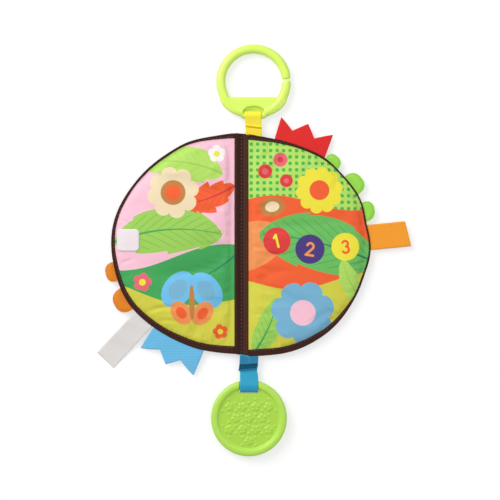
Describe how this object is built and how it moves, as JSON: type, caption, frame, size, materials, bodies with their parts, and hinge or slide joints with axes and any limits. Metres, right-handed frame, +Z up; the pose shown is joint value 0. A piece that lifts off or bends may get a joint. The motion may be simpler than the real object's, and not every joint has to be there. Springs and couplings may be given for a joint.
{
  "type": "crinkle cloth book",
  "caption": "Round padded cloth book with crinkle film in its covers and pages, a closing strap, sewn-in felt and satin tabs, a hanging ring and a teether.",
  "frame": {"origin": "on the table under the middle of the spine, at the foot of the fold that joins the two inner pages", "axes": "+Y along the spine towards the hanging ring, +X towards the half with the closing strap, +Z up from the table, out of the covers"},
  "size_m": [0.2669, 0.35, 0.0087],
  "materials": {
    "brown_tape": "napped brown binding tape",
    "left_print": "printed satin with a leaf and flower print",
    "right_print": "printed satin with a leaf and number print",
    "lining": "plain woven lining",
    "page_print": "printed satin page",
    "page_back": "printed satin page",
    "wadding": "soft polyester wadding",
    "film": "thin crinkling film",
    "yellow_ribbon": "smooth satin ribbon",
    "blue_ribbon": "smooth satin ribbon",
    "orange_strap": "smooth woven tape",
    "red_felt": "felt",
    "blue_felt": "ribbed cloth",
    "green_satin": "padded satin",
    "orange_satin": "padded satin",
    "label": "smooth label satin",
    "hook_tape": "hook tape",
    "loop_tape": "loop tape",
    "lime_plastic": "moulded, lightly glossy",
    "teether_plastic": "soft moulded plastic"
  },
  "bodies": {
    "spine": {"spine_strip": "brown_tape", "gutter_fold": "brown_tape"},
    "left_cover": {"left_outer_panel": "left_print", "left_wadding": "wadding", "left_crinkle_film": "film", "left_inner_panel": "lining", "left_binding": "brown_tape", "loop_patch": "loop_tape"},
    "right_cover": {"right_outer_panel": "right_print", "right_wadding": "wadding", "right_crinkle_film": "film", "right_inner_panel": "lining", "right_binding": "brown_tape"},
    "left_page": {"left_page_front": "page_print", "left_page_crinkle_film": "film", "left_page_back": "page_back", "left_page_binding": "brown_tape", "left_page_tape": "brown_tape"},
    "right_page": {"right_page_front": "page_print", "right_page_crinkle_film": "film", "right_page_back": "page_back", "right_page_binding": "brown_tape", "right_page_tape": "brown_tape"},
    "hanging_loop": {"hanging_ribbon": "yellow_ribbon"},
    "ring": {"hanging_ring": "lime_plastic"},
    "teether_loop": {"teether_ribbon": "blue_ribbon"},
    "teether": {"teether_disc": "teether_plastic"},
    "strap": {"strap_root": "orange_strap"},
    "strap_end": {"strap_tip": "orange_strap", "hook_patch": "hook_tape"},
    "red_crown_tab": {"red_crown": "red_felt"},
    "green_scallop_1_tab": {"green_scallop_1": "green_satin"},
    "green_scallop_2_tab": {"green_scallop_2": "green_satin"},
    "green_scallop_3_tab": {"green_scallop_3": "green_satin"},
    "blue_crown_tab": {"blue_crown": "blue_felt"},
    "care_label_tab": {"care_label": "label"},
    "orange_scallop_1_tab": {"orange_scallop_1": "orange_satin"},
    "orange_scallop_2_tab": {"orange_scallop_2": "orange_satin"}
  },
  "joints": [
    {"name": "left_cover_hinge", "type": "hinge", "parent": "spine", "child": "left_cover", "pos_m": [-0.0054, 0, 0.00465], "axis": [0, 1, 0], "range_deg": [-90, 90]},
    {"name": "right_cover_hinge", "type": "hinge", "parent": "spine", "child": "right_cover", "pos_m": [0.0054, 0, 0.00465], "axis": [0, -1, 0], "range_deg": [-90, 90]},
    {"name": "left_page_hinge", "type": "hinge", "parent": "left_cover", "child": "left_page", "pos_m": [-0.0054, 0, 0.00465], "axis": [0, -1, 0], "range_deg": [0, 90]},
    {"name": "right_page_hinge", "type": "hinge", "parent": "right_cover", "child": "right_page", "pos_m": [0.0054, 0, 0.00465], "axis": [0, 1, 0], "range_deg": [0, 90]},
    {"name": "hanging_loop_flex", "type": "hinge", "parent": "right_cover", "child": "hanging_loop", "pos_m": [0.0103, 0.09336, 0.00465], "axis": [1, 0, 0], "range_deg": [-60, 60]},
    {"name": "ring_swing", "type": "hinge", "parent": "hanging_loop", "child": "ring", "pos_m": [0.0103, 0.10955, 0.004], "axis": [-1, 0, 0], "range_deg": [-90, 90]},
    {"name": "teether_loop_flex", "type": "hinge", "parent": "right_cover", "child": "teether_loop", "pos_m": [0.0063, -0.0976, 0.00465], "axis": [-1, 0, 0], "range_deg": [-60, 60]},
    {"name": "teether_swing", "type": "hinge", "parent": "teether_loop", "child": "teether", "pos_m": [0.0063, -0.1196, 0.0043], "axis": [1, 0, 0], "range_deg": [-90, 90]},
    {"name": "strap_flex", "type": "hinge", "parent": "right_cover", "child": "strap", "pos_m": [0.11129, 0.0061, 0.00465], "axis": [0.0996, -0.995, 0], "range_deg": [-90, 60], "stiffness_Nm_per_rad": 0.02},
    {"name": "strap_fold", "type": "hinge", "parent": "strap", "child": "strap_end", "pos_m": [0.12756, 0.00773, 0.00425], "axis": [0.0996, -0.995, 0], "range_deg": [-90, 0], "stiffness_Nm_per_rad": 0.01},
    {"name": "red_crown_flex", "type": "hinge", "parent": "right_cover", "child": "red_crown_tab", "pos_m": [0.05031, 0.08343, 0.00465], "axis": [0.9178, -0.397, 0], "range_deg": [-60, 60], "stiffness_Nm_per_rad": 0.004},
    {"name": "green_scallop_1_flex", "type": "hinge", "parent": "right_cover", "child": "green_scallop_1_tab", "pos_m": [0.07711, 0.06721, 0.00465], "axis": [0.7739, -0.6333, 0], "range_deg": [-60, 60], "stiffness_Nm_per_rad": 0.004},
    {"name": "green_scallop_2_flex", "type": "hinge", "parent": "right_cover", "child": "green_scallop_2_tab", "pos_m": [0.09395, 0.04972, 0.00465], "axis": [0.5998, -0.8001, 0], "range_deg": [-60, 60], "stiffness_Nm_per_rad": 0.004},
    {"name": "green_scallop_3_flex", "type": "hinge", "parent": "right_cover", "child": "green_scallop_3_tab", "pos_m": [0.10609, 0.02787, 0.00465], "axis": [0.3584, -0.9336, 0], "range_deg": [-60, 60], "stiffness_Nm_per_rad": 0.004},
    {"name": "blue_crown_flex", "type": "hinge", "parent": "left_cover", "child": "blue_crown_tab", "pos_m": [-0.05444, -0.08235, 0.00465], "axis": [-0.902, 0.4317, 0], "range_deg": [-60, 60], "stiffness_Nm_per_rad": 0.004},
    {"name": "care_label_flex", "type": "hinge", "parent": "left_cover", "child": "care_label_tab", "pos_m": [-0.08256, -0.06323, 0.00465], "axis": [-0.7282, 0.6853, 0], "range_deg": [-60, 60], "stiffness_Nm_per_rad": 0.004},
    {"name": "orange_scallop_1_flex", "type": "hinge", "parent": "left_cover", "child": "orange_scallop_1_tab", "pos_m": [-0.10798, -0.02321, 0.00465], "axis": [-0.2948, 0.9556, 0], "range_deg": [-60, 60], "stiffness_Nm_per_rad": 0.004},
    {"name": "orange_scallop_2_flex", "type": "hinge", "parent": "left_cover", "child": "orange_scallop_2_tab", "pos_m": [-0.09718, -0.04593, 0.00465], "axis": [-0.5512, 0.8344, 0], "range_deg": [-60, 60], "stiffness_Nm_per_rad": 0.004}
  ]
}
